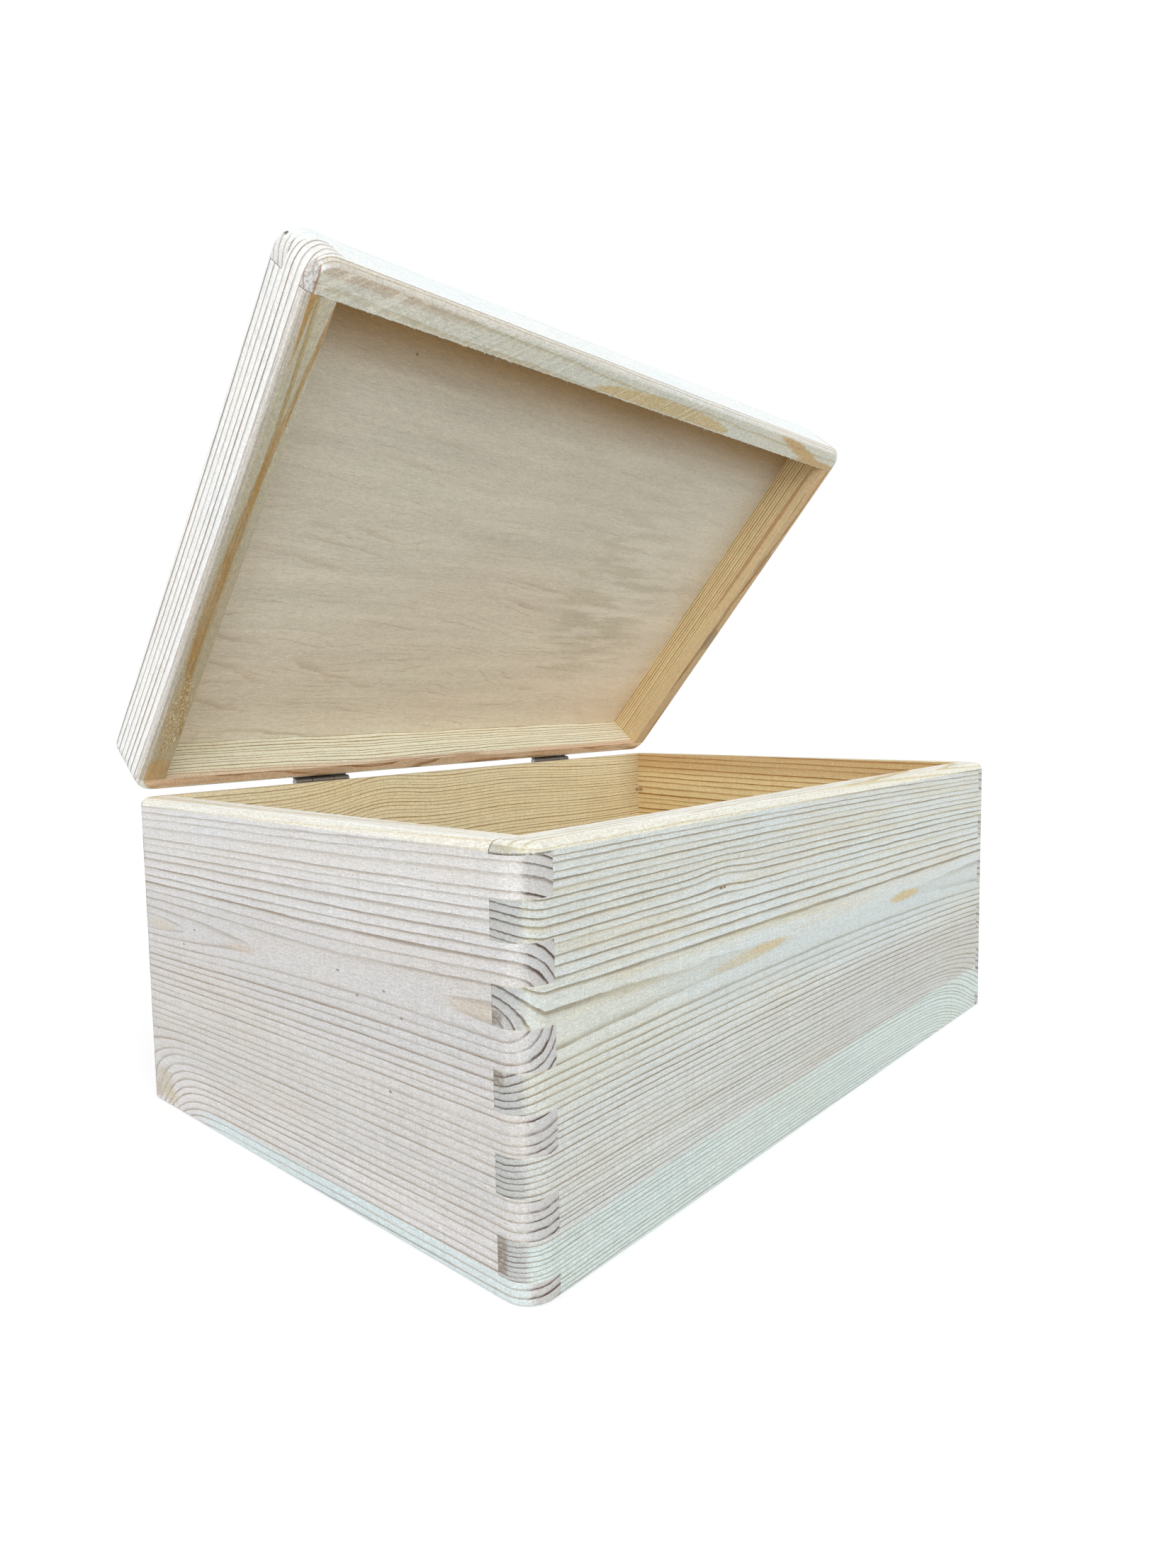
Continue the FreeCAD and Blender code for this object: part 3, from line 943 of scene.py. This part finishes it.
def lid_back_marks(place, faces):
    """Brown streaks at the lip, mostly near the middle, and a pinkish run at one end."""
    along, up, _ = place.parts()
    streaks = place.stretched((0.03, 1.2, 0.5), 4.0).noise(3.0, 0.6)
    middle = along.rise(48.0, 36.0) * along.rise(-24.0, -12.0)
    brown = streaks.rise(0.42, 0.6) * up.rise(4.5, 0.5) * (0.3 + middle * 0.6)
    yield brown * faces["inside"], (160, 118, 74)
    pink = (up + (streaks - 0.5) * 3.0).rise(3.4, 1.8) * (0.45 + along.rise(-40.0, -70.0) * 0.35)
    yield pink * faces["inside"], (232, 196, 168)
    yield streaks.rise(0.5, 0.66) * 0.45 * faces["edge"], (178, 134, 90)


lid_back = pine("lid back rail pine", rail_frame("back", rail_half_width),
                lid_back_log, lid_back_looks, lid_back_marks)
eased("lid_back_rail", "lid", lid_back, EASE)

# ------------------------ Lid panel
# Birch plywood let into a rebate in the rails and glued, flush with the lid's top. Its
# underside shows between the rails, with a greenish-grey stain towards one end.

lid_panel_looks = {
    "pale": (251, 249, 236), "pink": (250, 242, 228),
    "figure": (180, 152, 112), "pore": (196, 176, 146),
}
panel_frame = Matrix.Translation((0.0, 0.0, -lip_high)) @ shut
STAIN, STAIN_REACH = (72.0, -2.0), (40.0, 52.0)
PANEL_SPECK = (-93.0, -73.7)


def lid_panel_marks(place, under):
    """On the underside: a streaky grey-green stain, a peach hinge side and right end, a
    painted shadow strip along the front rail, and one speck."""
    along, up, _ = place.parts()
    streaks = place.grain(0.03, 0.24, 15.0, 3.0).rise(0.4, 0.62)
    area = blotch(place, along, up, STAIN, STAIN_REACH, slope=0.3, wobble=0.7, soft=0.8)
    yield streaks * area * under * 0.5, (178, 170, 134)
    peach = along.rise(60.0, 130.0) * 0.5 + up.rise(40.0, 86.0) * along.rise(-120.0, 60.0) * 0.5
    yield peach * 0.6, (250, 230, 206)
    yield up.rise(95.0, -75.0) * 0.8, (214, 210, 195)
    # Painted shadow: a golden-brown strip on the underside along the front rail, where the rail's
    # shade falls
    painted_rail_shadow = (up + (along.sway(0.012, 7.0) - 0.5) * 3.0).rise(-54.0, -84.0)
    yield painted_rail_shadow ** 1.5 * under * 0.95, (166, 131, 78)
    speck = blotch(place, along, up, PANEL_SPECK, (0.5, 0.45), wobble=0.3)
    yield speck * under * 0.7, (120, 98, 74)


lid_birch = birch("lid birch", panel_frame, lid_panel_looks, lid_panel_marks)
eased("lid_panel", "lid", lid_birch, EASE)

# ------------------------ Lid splinters
# Fine slivers of the front rail's own pine, which the saw tore up along its lip's inner
# edge and left hanging by their roots.

SLIVERS = 44
SLIVER_STEPS = 7
SLIVER_SEED = 12
SLIVER_SPAN = (-132.0, 126.0)   # where their roots are, along the lip
SLIVER_LENGTHS = (1.6, 5.2)
SLIVER_LEANS = (0.5, 1.7)       # how far in their tips are
SLIVER_DROPS = (-0.5, 0.2)      # how far up their tips are from their roots
SLIVER_WIDTHS = (0.1, 0.24)     # half of the width at the root
RIGHTWARD = 0.8                 # share of them that point to the right
RAIL_THICK = 10.4               # the lip's inner edge is this far in from its face


def slivers(count, seed):
    """Curved needles with a three-cornered section that shrinks evenly to nearly nothing at
    the tip. A needle's middle line leans inwards as the square of the way along it, and
    drops evenly. Rows are slivers and columns are steps, in millimetres."""
    draw = np.random.default_rng(seed)
    root = np.sort(draw.uniform(*SLIVER_SPAN, count))[:, None]
    length = draw.uniform(*SLIVER_LENGTHS, count)[:, None]
    lean = draw.uniform(*SLIVER_LEANS, count)[:, None]
    drop = draw.uniform(*SLIVER_DROPS, count)[:, None]
    wide = draw.uniform(*SLIVER_WIDTHS, count)[:, None]
    way = np.linspace(0.0, 1.0, SLIVER_STEPS)[None, :]
    heading = np.where(draw.random(count) < RIGHTWARD, 1.0, -1.0)[:, None]
    along = root + heading * length * way
    inward = -0.25 + lean * way ** 2
    height = 0.12 + drop * way
    half = wide * (1.0 - way) + 0.01
    return along, inward, height, half


def sliver_mesh(along, inward, height, half):
    """Three points round each step of each sliver, two level and one above, joined to the
    next step's three and closed with a triangle at both ends."""
    corners = ((-1.0, 0.0), (1.0, 0.0), (0.0, 1.0))
    lines = [np.stack([along, inward + side * half, height + top * half], axis=-1)
             for side, top in corners]
    points = np.stack(lines, axis=-2).reshape(-1, 3)
    count, steps = along.shape
    first = (np.arange(count)[:, None] * steps + np.arange(steps - 1)) * 3
    corner = np.arange(3)
    low = first[:, :, None] + corner
    following = first[:, :, None] + (corner + 1) % 3
    sides = np.stack([low, following, following + 3, low + 3], axis=-1).reshape(-1, 4)
    roots, tips = low[:, 0, ::-1], low[:, -1] + 3
    return points, sides.tolist() + roots.tolist() + tips.tolist()


points, sides = sliver_mesh(*slivers(SLIVERS, SLIVER_SEED))
points = points + (0.0, RAIL_THICK - rail_half_width, lip_high)
opened = np.array(Matrix.Scale(1 / MM_PER_METRE, 4) @ shut.inverted())
points = points @ opened[:3, :3].T + opened[:3, 3]
sliver_data = bpy.data.meshes.new("lid_slivers")
sliver_data.from_pydata(points.tolist(), [], sides)
sliver_data.materials.append(lid_front)
sliver_piece = put("lid_slivers", sliver_data)
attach(sliver_piece, "lid")

# ------------------------ Lid leaves
# The hinges' other halves, screwed to the outside of the lid's back rail and turning with
# it. They are stamped and rolled from the same plated sheet as the body leaves.

for side in ("left", "right"):
    eased(f"hinge_{side}_lid_leaf", "lid", leaf_steel, LEAF_EASE)

# ------------------------ Studio
# A white table and a white room, one wide soft light up to the left, and the camera low
# at the near corner.

CAMERA_AT = (-0.298792, -0.240044, 0.13983)     # metres
HEADING, TILT, ROLL = 43.555, -4.738, -1.191    # degrees, from a level view along the box
SENSOR = 36.0               # millimetres, on the picture's longer side
LENS = 21.93606             # millimetres
SHIFT = (0.0381, -0.0026)   # shares of the longer side
NEAREST = 0.01              # metres
ROOM_COLOUR, ROOM_LIGHT = (0.975, 0.99, 1.0, 1.0), 0.76
WHITE = (1.0, 1.0, 1.0, 1.0)
SOFTBOX_LIGHT = 1.35
SOFTBOX_SPREAD, SOFTBOX_TILT, SOFTBOX_TURN = 60.0, 60.0, -42.0      # degrees


def turned(*angles):
    """A turn about X, then Y, then Z, in degrees."""
    return Euler([math.radians(angle) for angle in angles])


camera_data = bpy.data.cameras.new("camera")
camera = put("camera", camera_data)
scene = bpy.context.scene
scene.camera = camera
aim = turned(90.0 + TILT, 0.0, HEADING - 90.0).to_matrix() @ turned(0.0, 0.0, ROLL).to_matrix()
camera.matrix_world = Matrix.LocRotScale(Vector(CAMERA_AT), aim, None)
camera_data.sensor_width = SENSOR
camera_data.lens = LENS
camera_data.shift_x, camera_data.shift_y = SHIFT
camera_data.clip_start = NEAREST
scene.view_settings.view_transform = "Standard"


def seen_straight(tree):
    """1 on what the camera, mirrors and glass see directly, 0 on light bouncing about."""
    path = tree.nodes.new("ShaderNodeLightPath")
    seen = Field(tree, path.outputs["Is Camera Ray"])
    for ray in ("Is Glossy Ray", "Is Transmission Ray"):
        seen = seen.math("MAXIMUM", Field(tree, path.outputs[ray]))
    return seen


world = bpy.data.worlds.new("white room")
scene.world = world
world.use_nodes = True
room = world.node_tree
sky = room.nodes["Background"]
sky.inputs["Color"].default_value = ROOM_COLOUR
sky.inputs["Strength"].default_value = ROOM_LIGHT
seen = seen_straight(room)
white = seen.add("ShaderNodeBackground", {"Color": WHITE})
wires = {0: seen, 1: seen.made(sky), 2: seen.made(white)}
mix = seen.add("ShaderNodeMixShader", wires)
room.links.new(mix.outputs[0], room.nodes["World Output"].inputs[0])

softbox_data = bpy.data.lights.new("softbox", "SUN")
softbox_data.energy = SOFTBOX_LIGHT
softbox_data.angle = math.radians(SOFTBOX_SPREAD)
softbox = put("softbox", softbox_data)
softbox.rotation_euler = turned(SOFTBOX_TILT, 0.0, SOFTBOX_TURN)

TABLE_REACH = 6.0           # metres from the middle to each side
TABLE_DROP = 0.0002         # metres, to keep it off the box's underside
TABLE_GREY = (0.8, 0.8, 0.8, 1.0)
TABLE_GLOW = 0.3            # whitens the table without lighting the box

table_data = bpy.data.meshes.new("table")
square = ((-1, -1, 0), (1, -1, 0), (1, 1, 0), (-1, 1, 0))
corners = [Vector(corner) * TABLE_REACH for corner in square]
table_data.from_pydata(corners, [], [(0, 1, 2, 3)])
table = put("table", table_data)
table.location.z = -TABLE_DROP
table_material, _, table_shader = blank_material("table")
table_data.materials.append(table_material)
table_shader.inputs["Base Color"].default_value = TABLE_GREY
table_shader.inputs["Roughness"].default_value = 0.9
table_shader.inputs["Specular IOR Level"].default_value = 0.0
table_shader.inputs["Emission Color"].default_value = WHITE
glow = seen_straight(table_material.node_tree) * TABLE_GLOW
table_material.node_tree.links.new(glow.socket, table_shader.inputs["Emission Strength"])
